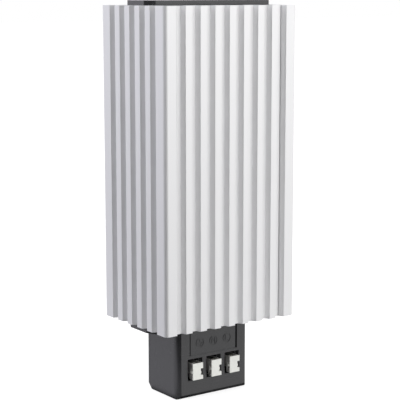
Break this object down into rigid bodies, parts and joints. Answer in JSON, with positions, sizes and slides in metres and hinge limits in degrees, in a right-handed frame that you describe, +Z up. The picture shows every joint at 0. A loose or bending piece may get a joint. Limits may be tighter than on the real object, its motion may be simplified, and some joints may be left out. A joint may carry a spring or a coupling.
{
  "type": "enclosure heater",
  "caption": "Upright enclosure heater: a grooved aluminium profile with air ducts, black end cap, terminal housing with sprung pushers below, and a rail clip on its back.",
  "frame": {"origin": "on the vertical axis of the heat-sink profile, at the flat underside of the terminal housing", "axes": "+Z up along the profile; -Y is the front with the terminals, +Y the back with the rail clip; +X to the right seen from the front"},
  "size_m": [0.07, 0.0549, 0.1766],
  "materials": {
    "anodised_aluminium": "satin clear anodised extrusion with faint lengthwise draw lines",
    "plain_aluminium": "mill finish",
    "black_plastic": "fine-grained black moulding",
    "white_plastic": "smooth off-white moulding",
    "zinc_steel": "zinc plated",
    "spring_steel": "zinc plated spring steel strip",
    "nickel_steel": "nickel plated sheet",
    "tinned_copper": "tin plated copper",
    "brass": "plain brass sheet",
    "ptc_ceramic": "dense dark ceramic with metallised faces",
    "amber_film": "wound amber insulating film",
    "brown_insulation": "matt silicone insulation",
    "blue_insulation": "matt silicone insulation",
    "green_yellow_insulation": "matt silicone insulation"
  },
  "bodies": {
    "heater": {"heatsink_profile": "anodised_aluminium", "wedge_fixed": "plain_aluminium", "wedge_driven": "plain_aluminium", "top_cap": "black_plastic", "terminal_housing": "black_plastic", "rear_cover": "black_plastic", "top_cap_screws": "zinc_steel", "housing_screws": "zinc_steel", "rail_clip_screws": "zinc_steel", "rail_clip": "spring_steel", "clamp_spring_1": "spring_steel", "clamp_spring_2": "spring_steel", "clamp_spring_3": "spring_steel", "contact_bar_1": "tinned_copper", "contact_bar_2": "tinned_copper", "contact_bar_3": "tinned_copper", "earth_lug": "tinned_copper", "contact_plate_live": "brass", "contact_plate_neutral": "brass", "tab_receptacle_live": "brass", "tab_receptacle_neutral": "brass", "earth_screw": "brass", "ptc_tablets": "ptc_ceramic", "insulating_sleeve": "amber_film", "live_lead": "brown_insulation", "neutral_lead": "blue_insulation", "earth_lead": "green_yellow_insulation"},
    "pusher_1": {"terminal_pusher_1": "white_plastic", "clamp_yoke_1": "nickel_steel"},
    "pusher_2": {"terminal_pusher_2": "white_plastic", "clamp_yoke_2": "nickel_steel"},
    "pusher_3": {"terminal_pusher_3": "white_plastic", "clamp_yoke_3": "nickel_steel"}
  },
  "joints": [
    {"name": "pusher_1_press", "type": "slide", "parent": "heater", "child": "pusher_1", "axis": [0, 1, 0], "range_m": [0, 0.002], "stiffness_N_per_m": 2500, "springref_m": -0.002, "deforming": ["clamp_spring_1"]},
    {"name": "pusher_2_press", "type": "slide", "parent": "heater", "child": "pusher_2", "axis": [0, 1, 0], "range_m": [0, 0.002], "stiffness_N_per_m": 2500, "springref_m": -0.002, "deforming": ["clamp_spring_2"]},
    {"name": "pusher_3_press", "type": "slide", "parent": "heater", "child": "pusher_3", "axis": [0, 1, 0], "range_m": [0, 0.002], "stiffness_N_per_m": 2500, "springref_m": -0.002, "deforming": ["clamp_spring_3"]}
  ]
}
